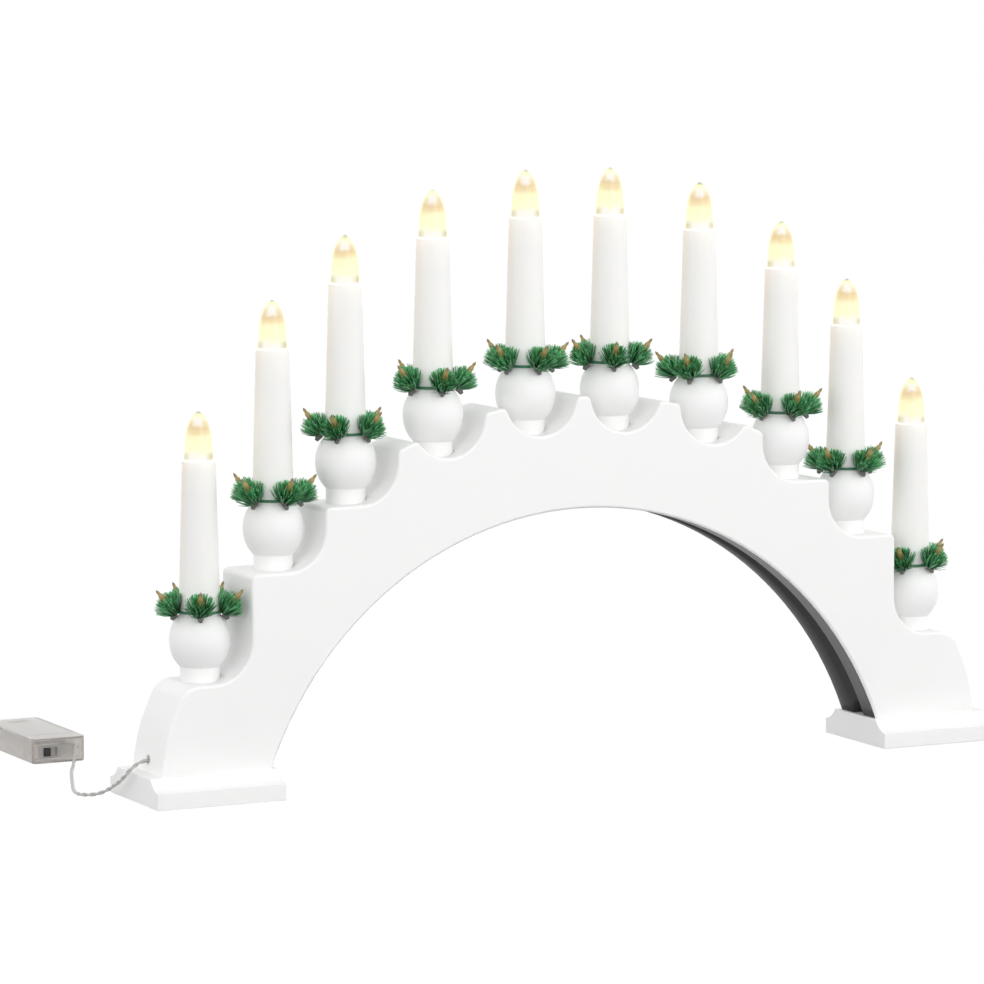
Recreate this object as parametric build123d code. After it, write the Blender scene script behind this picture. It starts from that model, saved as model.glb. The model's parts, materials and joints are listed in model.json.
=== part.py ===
from build123d import *
import math
import os

# Feet: two lengths of plinth moulding with flat ends
foot_reach = 236.0          # from the middle of the arch to a foot's outer end
foot_width = 67.5
foot_depth = 60.0
foot_height = 14.0
foot_upright = 8.0          # height of the upright face below the cove
foot_ledge = 1.0            # flat step where the cove starts
foot_cove_sag = 1.1
foot_top_depth = 41.0

# Arch board: the part between two circles, standing on the feet
board_thickness = 36.8
arch_top = 188.3            # crown of the outer curve
curve_inset = 3.3           # from a foot's end to the outer curve, at the foot's top
span_top = 132.3            # crown of the inner curve
inner_gap = 2.2             # bare foot top inside a leg
end_gap = 6.8               # bare foot top outside a leg
end_belly_height = 8.3      # height at which that bulge is widest
shoulder_radius = 13.0
shoulder_start = 7.1        # from the outermost candle's middle to the round shoulder
lip_share = 0.39            # of the middle plateau's width
edge_radius = 1.5
groove_width = 10.4
groove_depth = 10.0
wire_bore = 4.0
lead_bore = 4.6
lead_height = 20.0

# Candle holders: a ball on a short pedestal, sunk into the floor of a round notch
ball_diameter = 30.0
ball_height = 34.0          # before its foot and its top are cut off
crown_width = 7.6           # plateau between the two middle notches
pedestal_diameter = 19.6
holder_sink = 2.5
fit_gap = 0.15              # clearance of parts that are pushed together
candle_x_shares = (0.1008, 0.3174, 0.5191, 0.6843, 0.8508)     # of foot_reach
seat_depth_shares = (0.887, 0.782, 0.759, 0.870, 1.248)        # of the notch's radius, under the curve
open_outside = (False, False, True, True, True)                # notches with no wall on that side

# Candle tubes
tube_foot_diameter = 20.8
tube_top_diameter = 17.2
tube_wall = 1.5
tube_rim_height = 87.9      # rim above the ball's centre
tube_seat_margin = 0.2
spigot_diameter = 15.0
spigot_length = 5.0

# Lamps: a clear flame-shaped lens over a diode that stands on a socket
lens_diameter = 14.2
lens_height = 24.0
lens_wall = 1.2
lens_skirt = 4.0
lens_shoulder_share = 0.58  # of the lens's height, where the pointed top begins
lens_waist_share = 0.93     # of the lens's radius, at that height
lens_nose_radius = 1.6
socket_length = 9.0
diode_diameter = 5.0
diode_height = 8.6

# Sprig rings: a wire ring with needle tufts, each round a cone bud
ring_height = 14.2          # above the ball's centre
ring_wire = 1.2
ring_gap = 0.3
tuft_angles = (0.0, 72.0, 144.0, 216.0, 288.0)
tuft_lift = 52.0            # degrees above the level
stem_diameter = 1.8
stem_length = 9.0
bud_diameter = 4.3
bud_length = 9.5
bud_tip_diameter = 0.5
stub_diameter = 2.2
stub_length = 3.2
stub_lean = 30.0            # degrees
needle_count = 9
needle_length = 9.0
needle_width = 0.9
needle_tip = 0.4
needle_spread = 40.0        # degrees from the stem
needle_start_shares = (0.12, 0.24, 0.36)      # of the stem's length
ring_turns = (5.0, 30.0, -16.0, 20.0, 30.0, 8.0, -22.0, 26.0, 38.0, -21.0)    # degrees, as they lie
view_azimuth = -26.6        # the ring turns are counted from the side that the arch is seen from

# Wiring in the groove
harness_diameter = 2.4
dropper_diameter = 1.6
harness_gap = 0.3

# Screws that hold the feet
screw_diameter = 4.0
screw_head_diameter = 8.0
screw_head_height = 2.6
screw_length = 30.0
screw_sunk = 0.6
screw_spacing = 18.0
screw_gap = 0.1
screw_slot_width = 1.2
screw_slot_depth = 1.0

# Battery box, lying free on its cord
box_inset = 9.7             # from a foot's outer end to the middle of the box
box_front = 121.2           # its front face, with the switch
box_length = 66.6
box_width = 28.4
box_height = 12.8
box_wall = 1.2
box_floor = 0.9
box_corner = 2.6
box_edge = 0.8
switch_bay = 12.0
bay_wall = 1.0
lid_thickness = 1.2
lid_gap = 0.1
rail_width = 0.8
rail_height = 1.0
grip_count = 4
grip_pitch = 2.4
grip_length = 12.0
grip_width = 0.9
grip_depth = 0.4
panel_width = 20.6          # shallow panel round the switch
panel_height = 7.0
panel_offset = -1.3
panel_depth = 0.4
switch_offset = -4.7
switch_rise = 5.8
knob_width = 3.4
knob_height = 4.0
knob_travel = 3.6
knob_gap = 0.2
knob_proud = 1.1
knob_reach = 2.0
switch_body_length = 6.0
switch_body_height = 6.4
switch_body_margin = 2.4
cell_diameter = 10.5
spring_length = 2.85
cell_nub_diameter = 3.8
cell_nub_height = 0.9
cell_gap = 0.4
contact_thickness = 0.5
contact_width = 8.0
contact_height = 8.0
spring_foot_diameter = 5.6
spring_tip_diameter = 3.0

# Cord: two thin cores twisted together
cord_diameter = 2.0
cord_bore_gap = 0.3
floor_gap = 0.1             # between the cord and the ground
cord_share = 0.45           # of the shorter run, that a bend may use

cut_overrun = 1.0           # how far a cutter runs past the face that it opens
tolerance = 0.01

stand = (Align.CENTER, Align.CENTER, Align.MIN)
hang = (Align.CENTER, Align.CENTER, Align.MAX)
backward = (Align.CENTER, Align.MIN, Align.MIN)
upward = (Align.CENTER, Align.MIN)

outer_rise = arch_top - foot_height
outer_half = foot_reach - curve_inset
outer_radius = (outer_half ** 2 + outer_rise ** 2) / (2 * outer_rise)
outer_z = arch_top - outer_radius
inner_rise = span_top - foot_height
inner_half = foot_reach - foot_width + inner_gap
inner_radius = (inner_half ** 2 + inner_rise ** 2) / (2 * inner_rise)
inner_z = span_top - inner_radius
ball_radius = ball_diameter / 2
lip_radius = lip_share * crown_width
end_x = foot_reach - end_gap


def outer_curve_z(x):
    return outer_z + math.sqrt(outer_radius ** 2 - x ** 2)


candle_x = [share * foot_reach for share in candle_x_shares]
notch_radius = candle_x[0] - crown_width / 2
seat_z = [outer_curve_z(x) - share * notch_radius for x, share in zip(candle_x, seat_depth_shares)]
right_half = [(x, z + notch_radius) for x, z in zip(candle_x, seat_z)]
left_half = [(-x, z) for x, z in reversed(right_half)]
ball_centres = left_half + right_half

# Levels in a candle, from its ball's centre
flat_radius = tube_foot_diameter / 2 + tube_seat_margin
flat_z = ball_height / 2 * math.sqrt(1 - (flat_radius / ball_radius) ** 2)
tube_length = tube_rim_height - flat_z
bore_top_radius = tube_top_diameter / 2 - tube_wall
skirt_radius = bore_top_radius - fit_gap
socket_top_z = tube_rim_height - lens_skirt
socket_foot_z = socket_top_z - socket_length


def foot(side):
    half = foot_depth / 2
    top_half = foot_top_depth / 2
    cove_start = (half - foot_ledge, foot_upright)
    cove_end = (top_half, foot_height)
    run = Vector(*cove_end) - Vector(*cove_start)
    middle = (Vector(*cove_start) + Vector(*cove_end)) / 2
    dip = Vector(-run.Y, run.X).normalized() * foot_cove_sag
    cove_middle = (middle.X + dip.X, middle.Y + dip.Y)
    lines = Polyline((0, 0), (half, 0), (half, foot_upright), cove_start)
    lines += ThreePointArc(cove_start, cove_middle, cove_end)
    lines += Line(cove_end, (0, foot_height))
    lines += mirror(lines, Plane.YZ)
    profile = Plane.YZ * make_face(lines)
    block = extrude(profile, foot_width)
    middle_x = foot_reach - foot_width / 2
    block = Pos(middle_x - foot_width / 2, 0, 0) * block
    for y in (-screw_spacing / 2, screw_spacing / 2):
        block -= Pos(screw_x(), y, 0) * screw_hole()
    if side < 0:
        block = mirror(block, Plane.YZ)
    return block


def screw_x():
    return (end_x + inner_half) / 2


def screw_hole():
    head_z = screw_sunk + screw_head_height
    head_radius = screw_head_diameter / 2 + screw_gap
    shank_radius = screw_diameter / 2 + screw_gap
    sink = Pos(0, 0, screw_sunk) * Cylinder(head_radius, screw_sunk + cut_overrun, align=hang)
    cone = Cone(head_radius, shank_radius, screw_head_height, align=stand)
    shank = Cylinder(shank_radius, screw_length + screw_gap - screw_head_height, align=stand)
    return sink + Pos(0, 0, screw_sunk) * cone + Pos(0, 0, head_z) * shank


def foot_screw(x, y):
    cone = Cone(screw_head_diameter / 2, screw_diameter / 2, screw_head_height, align=stand)
    shank = Cylinder(screw_diameter / 2, screw_length - screw_head_height, align=stand)
    screw = cone + Pos(0, 0, screw_head_height) * shank
    slot = Box(screw_head_diameter, screw_slot_width, screw_slot_depth, align=stand)
    return Pos(x, y, screw_sunk) * (screw - slot)


def notch(x, z, outward, reach, opened):
    round_floor = Pos(x, z) * Circle(notch_radius)
    above = Pos(x, z) * Rectangle(2 * notch_radius, arch_top, align=upward)
    shape = round_floor + above
    if opened:
        side = Align.MIN if outward > 0 else Align.MAX
        shape += Pos(x, z - notch_radius) * Rectangle(reach, arch_top, align=(side, Align.MIN))
    return shape


def arch_outline():
    # The legs run on below the feet's tops here, so that only the upper corners are rounded
    leg_foot = foot_height - 2 * lip_radius
    above_feet = Pos(0, leg_foot) * Rectangle(2 * foot_reach, arch_top, align=upward)
    outline = (Pos(0, outer_z) * Circle(outer_radius)) & above_feet
    outline -= Pos(0, inner_z) * Circle(inner_radius)
    reaches = [far - near for near, far in zip(candle_x, candle_x[1:])] + [foot_reach]
    for side in (-1, 1):
        outline -= end_trim(side)
        for (x, z), reach, opened in zip(right_half, reaches, open_outside):
            outline -= notch(side * x, z, side, reach, opened)
    shrunk = offset(outline, -lip_radius, kind=Kind.INTERSECTION)
    outline = offset(shrunk, lip_radius, kind=Kind.ARC)
    standing = Pos(0, foot_height) * Rectangle(2 * foot_reach, arch_top, align=upward)
    return outline & standing


def end_trim(side):
    # What lies outside a leg's bulged end face and the round shoulder above it
    shoulder_z = seat_z[-1]
    centre_x = candle_x[-1] + shoulder_start
    centre_z = shoulder_z - shoulder_radius
    depth = end_x - centre_x
    rise = centre_z - end_belly_height
    # The bulge touches the shoulder's circle, and is widest at end_belly_height
    end_radius = (depth ** 2 + rise ** 2 - shoulder_radius ** 2) / (2 * (depth - shoulder_radius))
    bulge_x = end_x - end_radius
    spoke = end_radius - shoulder_radius
    run = centre_x - bulge_x
    outside = Pos(centre_x, 0) * Rectangle(foot_reach, shoulder_z, align=(Align.MIN, Align.MIN))
    trim = outside - Pos(bulge_x, end_belly_height) * Circle(end_radius)
    reach = 2 * shoulder_radius / spoke
    far_x = centre_x + reach * run
    top_z = shoulder_z + shoulder_radius
    wedge = make_face(Polyline(
        (centre_x, centre_z), (far_x, centre_z + reach * rise), (far_x, top_z), (centre_x, top_z),
        (centre_x, centre_z)))
    trim += wedge - Pos(centre_x, centre_z) * Circle(shoulder_radius)
    if side < 0:
        trim = mirror(trim, Plane.YZ)
    return trim


def arch_board():
    profile = Plane.XZ * arch_outline()
    board = extrude(profile, board_thickness / 2, both=True)
    rims = [edge for edge in board.edges()
            if abs(abs(edge.center().Y) - board_thickness / 2) < tolerance
            and edge.bounding_box().max.Z > foot_height + tolerance]
    board = fillet(rims, edge_radius)
    groove = Plane.XZ * (Pos(0, inner_z) * Circle(inner_radius + groove_depth))
    board -= extrude(groove, groove_width / 2, both=True)
    for x, z in ball_centres:
        seat = z - notch_radius - holder_sink
        socket = Cylinder(pedestal_diameter / 2 + fit_gap, notch_radius + holder_sink, align=stand)
        board -= Pos(x, 0, seat) * socket
        bore_foot = max(groove_roof_z(x) - wire_bore, lead_height)
        bore = Cylinder(wire_bore / 2, seat - bore_foot + cut_overrun, align=hang)
        board -= Pos(x, 0, seat + cut_overrun / 2) * bore
    groove_x = groove_half(lead_height)
    left_lead = Cylinder(lead_bore / 2, end_x - groove_x + 2 * groove_depth, rotation=(0, 90, 0))
    board -= Pos(-(end_x + groove_x) / 2, 0, lead_height) * left_lead
    far_x = candle_x[-1] + wire_bore / 2
    near_x = groove_x - groove_depth
    right_lead = Cylinder(lead_bore / 2, far_x - near_x, rotation=(0, 90, 0))
    board -= Pos((far_x + near_x) / 2, 0, lead_height) * right_lead
    for x in (-screw_x(), screw_x()):
        for y in (-screw_spacing / 2, screw_spacing / 2):
            board -= Pos(x, y, 0) * screw_hole()
    return board


def groove_half(z):
    return math.sqrt((inner_radius + groove_depth) ** 2 - (z - inner_z) ** 2)


def groove_roof_z(x):
    roof = inner_radius + groove_depth
    if abs(x) >= roof:
        return 0
    return inner_z + math.sqrt(roof ** 2 - x ** 2)


def candle_holder():
    foot_z = -(notch_radius + holder_sink)
    pedestal_radius = pedestal_diameter / 2
    neck_angle = math.degrees(math.acos(pedestal_radius / ball_radius))
    top_angle = math.degrees(math.acos(flat_radius / ball_radius))
    socket_radius = spigot_diameter / 2 + fit_gap
    socket_z = flat_z - spigot_length - fit_gap
    sweep_angle = neck_angle + top_angle
    side = EllipticalCenterArc((0, 0), ball_radius, ball_height / 2, -neck_angle, arc_size=sweep_angle)
    lines = Polyline((wire_bore / 2, foot_z), (pedestal_radius, foot_z), side @ 0)
    lines += side
    lines += Polyline(side @ 1, (socket_radius, flat_z), (socket_radius, socket_z),
                      (wire_bore / 2, socket_z), (wire_bore / 2, foot_z))
    return revolve(Plane.XZ * make_face(lines), Axis.Z)


def candle_tube():
    foot_radius = tube_foot_diameter / 2
    top_radius = tube_top_diameter / 2
    body = Cone(foot_radius, top_radius, tube_length, align=stand)
    spigot = Cylinder(spigot_diameter / 2, spigot_length, align=hang)
    bore = Cone(foot_radius - tube_wall, top_radius - tube_wall, tube_length, align=stand)
    throat = Cylinder(spigot_diameter / 2 - tube_wall, 2 * (spigot_length + cut_overrun))
    floor = Cylinder(foot_radius, tube_wall, align=stand)
    return Pos(0, 0, flat_z) * (body + spigot - (bore - floor) - throat)


def lens_outline(radius, height, nose):
    waist = radius * lens_waist_share
    shoulder = height * lens_shoulder_share
    lines = Polyline((0, 0), (radius, 0))
    lines += Bezier((radius, 0), (radius, shoulder / 2), (waist, shoulder))
    neck = (waist * lens_waist_share, (shoulder + height) / 2)
    lines += Bezier((waist, shoulder), neck, (nose, height - nose / 2), (0, height))
    lines += Line((0, height), (0, 0))
    return make_face(lines)


def flame_lens():
    hollow_radius = skirt_radius - lens_wall
    outside = lens_outline(lens_diameter / 2, lens_height, lens_nose_radius)
    inside = lens_outline(hollow_radius, lens_height - 2 * lens_wall, lens_nose_radius)
    shell = revolve(Plane.XZ * outside, Axis.Z)
    hollow = revolve(Plane.XZ * inside, Axis.Z)
    skirt = Cylinder(skirt_radius, lens_skirt, align=hang)
    throat = Cylinder(hollow_radius, lens_skirt, align=hang)
    return Pos(0, 0, tube_rim_height) * (shell + skirt - hollow - throat)


def lamp_socket():
    body = Cylinder(skirt_radius, socket_length, align=hang)
    neck = Cylinder(diode_diameter / 2 + tube_wall, lens_skirt / 2, align=stand)
    return Pos(0, 0, socket_top_z) * (body + neck)


def diode():
    stem_height = diode_height - diode_diameter / 2
    stem = Cylinder(diode_diameter / 2, stem_height, align=stand)
    dome = Pos(0, 0, stem_height) * Sphere(diode_diameter / 2)
    return Pos(0, 0, socket_top_z + lens_skirt / 2) * (stem + dome)


def tube_radius_at(z):
    slope = (tube_foot_diameter - tube_top_diameter) / 2 / tube_length
    return tube_foot_diameter / 2 - slope * (z - flat_z)


def tapered_strand(start, direction, length):
    plane = Plane(origin=start, z_dir=direction)
    foot_face = plane * Rectangle(needle_width, needle_width)
    tip_face = plane.offset(length) * Rectangle(needle_tip, needle_tip)
    return loft([foot_face, tip_face], ruled=True)


def tuft(ring_radius):
    lift = math.radians(tuft_lift)
    along = Vector(math.cos(lift), 0, math.sin(lift))
    above = Vector(-math.sin(lift), 0, math.cos(lift))
    across = Vector(0, 1, 0)
    root = Vector(ring_radius, 0, 0)
    stem_plane = Plane(origin=root, z_dir=along)
    stem = stem_plane * Cylinder(stem_diameter / 2, stem_length, align=stand)
    bud_plane = stem_plane.offset(stem_length - stem_diameter)
    bud = bud_plane * Cone(bud_diameter / 2, bud_tip_diameter / 2, bud_length, align=stand)
    lean = math.radians(stub_lean)
    stub_root = root + Vector((stub_diameter - ring_wire) / 2, 0, 0)
    stub_plane = Plane(origin=stub_root, z_dir=Vector(math.sin(lean), 0, -math.cos(lean)))
    stub = stub_plane * Cylinder(stub_diameter / 2, stub_length, align=stand)
    spread = math.radians(needle_spread)
    strands = []
    for k in range(needle_count):
        around = 2 * math.pi * k / needle_count
        sideways = above * math.cos(around) + across * math.sin(around)
        direction = along * math.cos(spread) + sideways * math.sin(spread)
        start = root + along * (stem_length * needle_start_shares[k % len(needle_start_shares)])
        strands.append(tapered_strand(start, direction, needle_length))
    return stem.fuse(bud, stub, *strands)


def sprig_ring():
    ring_radius = tube_radius_at(ring_height) + ring_gap + ring_wire / 2
    wire = Torus(ring_radius, ring_wire / 2)
    one = tuft(ring_radius)
    return Pos(0, 0, ring_height) * wire.fuse(*[Rot(0, 0, angle) * one for angle in tuft_angles])


def wire_harness():
    run_radius = inner_radius + groove_depth - harness_gap - harness_diameter / 2
    ring = Torus(run_radius, harness_diameter / 2, rotation=(90, 0, 0))
    ring = Pos(0, 0, inner_z) * ring
    keep = Box(2 * foot_reach, board_thickness, arch_top, align=stand)
    run = ring & (Pos(0, 0, lead_height - harness_diameter) * keep)
    turn_x = math.sqrt(run_radius ** 2 - (lead_height - inner_z) ** 2)
    pieces = []
    for x, z in ball_centres:
        foot_z = lead_height
        if abs(x) < turn_x:
            foot_z = inner_z + math.sqrt(run_radius ** 2 - x ** 2)
        length = z + socket_foot_z - foot_z
        dropper = Cylinder(dropper_diameter / 2, length, align=stand)
        pieces.append(Pos(x, 0, foot_z) * dropper)
    for far_x in (-cord_inner_x(), candle_x[-1] + harness_diameter / 2):
        near_x = math.copysign(turn_x, far_x)
        lead = Cylinder(cord_diameter / 2, abs(far_x - near_x), rotation=(0, 90, 0))
        pieces.append(Pos((far_x + near_x) / 2, 0, lead_height) * lead)
    return run.fuse(*pieces)


def cord_inner_x():
    return -cord_route[-1][0]


# The cord's route, by hand: out of the box, over the floor, up past the foot's end and into the arch
# Each point is given by how far it lies outside the foot's end, how far back it lies, and its height
floor_z = cord_diameter / 2 + floor_gap
cord_points = [
    (-19.0, 125.0, 8.0), (-18.8, 118.0, 7.9), (-17.0, 111.5, 4.2), (-13.0, 103.5, floor_z),
    (-5.5, 91.0, floor_z), (2.8, 72.0, floor_z), (11.0, 52.0, floor_z), (17.4, 35.0, floor_z),
    (18.6, 23.5, floor_z), (12.2, 17.6, 1.6), (7.2, 14.4, 4.6), (5.8, 7.6, 9.4),
    (4.6, 1.4, 14.6), (0.6, -0.4, 19.2), (-5.6, 0.0, lead_height), (-12.0, 0.0, lead_height),
]
cord_route = [(-foot_reach - out, back, z) for out, back, z in cord_points]


def cord():
    points = [Vector(*p) for p in cord_route]
    radii = []
    for before, here, after in zip(points, points[1:], points[2:]):
        turn = math.radians((here - before).get_angle(after - here))
        shorter = min((here - before).length, (after - here).length)
        radii.append(cord_share * shorter / math.tan(turn / 2))
    path = FilletPolyline(*points, radius=radii)
    start = Plane(origin=path @ 0, z_dir=path % 0)
    tube = sweep(start * Circle(cord_diameter / 2), path=path)
    ideal = math.pi * cord_diameter ** 2 / 4 * path.length
    print("cord radii", [round(r, 1) for r in radii], "length", round(path.length, 1))
    print("cord volume", round(tube.volume, 1), "section times length", round(ideal, 1))
    return tube


def rounded_block(width, length, height):
    block = Box(width, length, height, align=backward)
    return fillet(block.edges().filter_by(Axis.Z), box_corner)


box_x = box_inset - foot_reach
front_length = box_wall + switch_bay + bay_wall
inner_width = box_width - 2 * box_wall
bay_length = box_length - front_length - box_wall
lid_z = box_height - lid_thickness
cell_length = bay_length - 2 * (contact_thickness + spring_length)
cell_x = (cell_diameter + cell_gap) / 2
cell_z = box_floor + lid_gap + cell_diameter / 2


def at_box(shape):
    return Pos(box_x, box_front, 0) * shape


def battery_base():
    base = rounded_block(box_width, box_length, box_height)
    base = fillet(base.faces().sort_by(Axis.Z)[0].edges(), box_edge)
    lid_room = Box(box_width, box_length, box_height, align=backward)
    base -= Pos(0, front_length, lid_z) * lid_room
    cell_bay = Box(inner_width, bay_length, box_height, align=backward)
    base -= Pos(0, front_length, box_floor) * cell_bay
    switch_room = Box(inner_width, switch_bay, lid_z - box_floor, align=backward)
    base -= Pos(0, box_wall, box_floor) * switch_room
    end_slot = Box(inner_width, 2 * box_wall, box_height, align=stand)
    base -= Pos(0, box_length - box_wall, lid_z - rail_height - lid_gap) * end_slot
    panel = Box(panel_width, 2 * panel_depth, panel_height)
    base -= Pos(panel_offset, 0, switch_rise) * panel
    slot = Box(knob_width + knob_travel + 2 * knob_gap, 4 * box_wall, knob_height + 2 * knob_gap)
    base -= Pos(switch_offset, 0, switch_rise) * slot
    start = Vector(*cord_route[0])
    hole = Cylinder(cord_diameter / 2 + cord_bore_gap, 4 * box_wall, rotation=(90, 0, 0))
    base -= Pos(start.X - box_x, 0, start.Z) * hole
    return at_box(base)


def battery_lid():
    lid_length = box_length - front_length - lid_gap
    lid = Pos(0, 0, lid_z) * rounded_block(box_width, box_length, lid_thickness)
    behind_switch = Box(box_width, box_length, 2 * box_height, align=backward)
    lid = lid & (Pos(0, front_length + lid_gap, 0) * behind_switch)
    rail_x = inner_width / 2 - fit_gap - rail_width / 2
    under_lid = (Align.CENTER, Align.MIN, Align.MAX)
    rail = Box(rail_width, lid_length - box_wall, rail_height, align=under_lid)
    for side in (-1, 1):
        lid += Pos(side * rail_x, front_length + lid_gap, lid_z) * rail
    end_lip = Box(inner_width - 2 * fit_gap, box_wall, rail_height, align=under_lid)
    lid += Pos(0, box_length - box_wall, lid_z) * end_lip
    grip = Box(grip_length, grip_width, 2 * grip_depth)
    for k in range(grip_count):
        lid -= Pos(0, box_length - box_corner - (k + 1) * grip_pitch, box_height) * grip
    return at_box(lid)


def switch_body():
    width = knob_width + knob_travel + 2 * (knob_gap + switch_body_margin)
    body_align = (Align.CENTER, Align.MIN, Align.CENTER)
    body = Box(width, switch_body_length, switch_body_height, align=body_align)
    channel_width = knob_width + knob_travel + 2 * knob_gap
    channel = Box(channel_width, 2 * (knob_reach + knob_gap), knob_height + 2 * knob_gap)
    return at_box(Pos(switch_offset, box_wall, switch_rise) * (body - channel))


def switch_knob():
    length = knob_proud + box_wall - panel_depth + knob_reach
    knob = Box(knob_width, length, knob_height, align=(Align.CENTER, Align.MAX, Align.CENTER))
    knob = fillet(knob.faces().sort_by(Axis.Y)[0].edges(), knob_gap)
    return at_box(Pos(switch_offset - knob_travel / 2, box_wall + knob_reach, switch_rise) * knob)


def battery_cells():
    start = front_length + contact_thickness + spring_length
    can = Cylinder(cell_diameter / 2, cell_length - cell_nub_height, align=stand)
    upright = can + Cylinder(cell_nub_diameter / 2, cell_length, align=stand)
    turned = Pos(0, 0, cell_length) * Rot(180, 0, 0) * upright
    cells = []
    for x, cell in ((-cell_x, upright), (cell_x, turned)):
        cells.append(at_box(Pos(x, start, cell_z) * Rot(-90, 0, 0) * cell))
    return Compound(cells)


def battery_contacts():
    back_y = box_length - box_wall
    coil = Cone(spring_foot_diameter / 2, spring_tip_diameter / 2, spring_length, align=stand)
    plate_align = (Align.CENTER, Align.MIN, Align.CENTER)
    plate = Box(contact_width, contact_thickness, contact_height, align=plate_align)
    front_contact = plate + Pos(0, contact_thickness, 0) * Rot(-90, 0, 0) * coil
    bridge_width = 2 * cell_x + contact_width
    bridge_align = (Align.CENTER, Align.MAX, Align.CENTER)
    bridge = Pos(0, back_y, cell_z) * Box(bridge_width, contact_thickness, contact_height, align=bridge_align)
    contacts = []
    for x in (-cell_x, cell_x):
        contacts.append(at_box(Pos(x, front_length, cell_z) * front_contact))
        bridge += Pos(x, back_y - contact_thickness, cell_z) * Rot(90, 0, 0) * coil
    contacts.append(at_box(bridge))
    return Compound(contacts)


def write(node, shape):
    export_step(shape, f"parts/{node}.step")


def at_each_candle(shape):
    return [Pos(x, 0, z) * shape for x, z in ball_centres]


def main():
    os.makedirs("parts", exist_ok=True)
    write("arch_board", arch_board())
    write("left_foot", foot(-1))
    write("right_foot", foot(1))
    screws = []
    for x in (-screw_x(), screw_x()):
        for y in (-screw_spacing / 2, screw_spacing / 2):
            screws.append(foot_screw(x, y))
    write("foot_screws", Compound(screws))
    repeated = {"candle_holder": candle_holder(), "candle_tube": candle_tube(), "flame_lens": flame_lens()}
    for name, shape in repeated.items():
        for number, placed in enumerate(at_each_candle(shape), start=1):
            write(f"{name}_{number:02d}", placed)
    ring = sprig_ring()
    for number, ((x, z), turn) in enumerate(zip(ball_centres, ring_turns), start=1):
        facing = view_azimuth - 90 + turn
        write(f"sprig_ring_{number:02d}", Pos(x, 0, z) * Rot(0, 0, facing) * ring)
    write("lamp_sockets", Compound(at_each_candle(lamp_socket())))
    write("lamp_diodes", Compound(at_each_candle(diode())))
    write("wire_harness", wire_harness())
    write("cord", cord())
    write("battery_base", battery_base())
    write("battery_lid", battery_lid())
    write("switch_body", switch_body())
    write("switch_knob", switch_knob())
    write("battery_cells", battery_cells())
    write("battery_contacts", battery_contacts())


main()
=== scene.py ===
import bpy
import bmesh
import json
import math
import random
from mathutils import Matrix, Vector


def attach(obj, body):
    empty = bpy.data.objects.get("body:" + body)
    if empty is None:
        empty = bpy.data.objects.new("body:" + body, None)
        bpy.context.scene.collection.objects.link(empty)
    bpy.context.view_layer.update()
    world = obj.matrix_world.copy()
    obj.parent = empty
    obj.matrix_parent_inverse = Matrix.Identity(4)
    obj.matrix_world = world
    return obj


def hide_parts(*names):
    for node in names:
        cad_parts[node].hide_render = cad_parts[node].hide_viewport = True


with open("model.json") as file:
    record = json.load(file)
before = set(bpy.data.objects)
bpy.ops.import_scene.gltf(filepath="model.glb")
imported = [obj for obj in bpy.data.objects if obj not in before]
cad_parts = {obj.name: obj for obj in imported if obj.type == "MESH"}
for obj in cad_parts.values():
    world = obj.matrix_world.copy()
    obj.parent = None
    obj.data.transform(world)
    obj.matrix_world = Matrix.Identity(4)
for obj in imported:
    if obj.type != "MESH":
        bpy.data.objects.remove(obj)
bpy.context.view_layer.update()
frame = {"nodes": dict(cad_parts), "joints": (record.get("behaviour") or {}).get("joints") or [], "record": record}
mm = 0.001
candleNumbers = [f"{k:02d}" for k in range(1, 11)]
print("frame loaded:", len(frame["nodes"]), "nodes")


# Camera and picture frame
cameraLook = {
    "place": (-1.15895, -2.22960, 0.42611), "azimuth": -26.604, "elevation": 6.528, "lens": 184.52, "sensor": 36.0,
    "farthest": 50.0}


def makeCamera(look):
    data = bpy.data.cameras.new("photoCamera")
    data.sensor_width = look["sensor"]
    data.lens = look["lens"]
    data.clip_end = look["farthest"]
    camera = bpy.data.objects.new("photoCamera", data)
    azimuth = math.radians(look["azimuth"])
    elevation = math.radians(look["elevation"])
    level = math.cos(elevation)
    back = Vector((math.sin(azimuth) * level, -math.cos(azimuth) * level, math.sin(elevation)))
    camera.location = look["place"]
    camera.rotation_mode = "QUATERNION"
    camera.rotation_quaternion = (-back).to_track_quat("-Z", "Y")
    bpy.context.scene.collection.objects.link(camera)
    bpy.context.scene.camera = camera


makeCamera(cameraLook)
print("camera ready")


# Shader helpers
def feed(links, socket, value):
    # A socket takes a plain number or another node's output
    if isinstance(value, (int, float)):
        socket.default_value = value
    else:
        links.new(value, socket)


def mathNode(nodes, links, operation, *values):
    node = nodes.new("ShaderNodeMath")
    node.operation = operation
    for socket, value in zip(node.inputs, values):
        feed(links, socket, value)
    return node.outputs[0]


def scaledColor(nodes, links, color, amount):
    node = nodes.new("ShaderNodeVectorMath")
    node.operation = "SCALE"
    links.new(color, node.inputs[0])
    feed(links, node.inputs["Scale"], amount)
    return node.outputs[0]


def noiseNode(nodes, links, vector, scale, detail):
    node = nodes.new("ShaderNodeTexNoise")
    node.inputs["Detail"].default_value = detail
    links.new(vector, node.inputs["Vector"])
    feed(links, node.inputs["Scale"], scale)
    return node


# Shared shader node groups
def newGroup(name, inputs, outputs):
    group = bpy.data.node_groups.new(name, "ShaderNodeTree")
    for label, kind, default in inputs:
        socket = group.interface.new_socket(label, in_out="INPUT", socket_type=kind)
        socket.default_value = default
    for label, kind in outputs:
        group.interface.new_socket(label, in_out="OUTPUT", socket_type=kind)
    return group, group.nodes.new("NodeGroupInput"), group.nodes.new("NodeGroupOutput")


finishNoise = {"fineDetail": 4, "broadScale": 22, "broadDetail": 3, "middle": 0.5}


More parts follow.
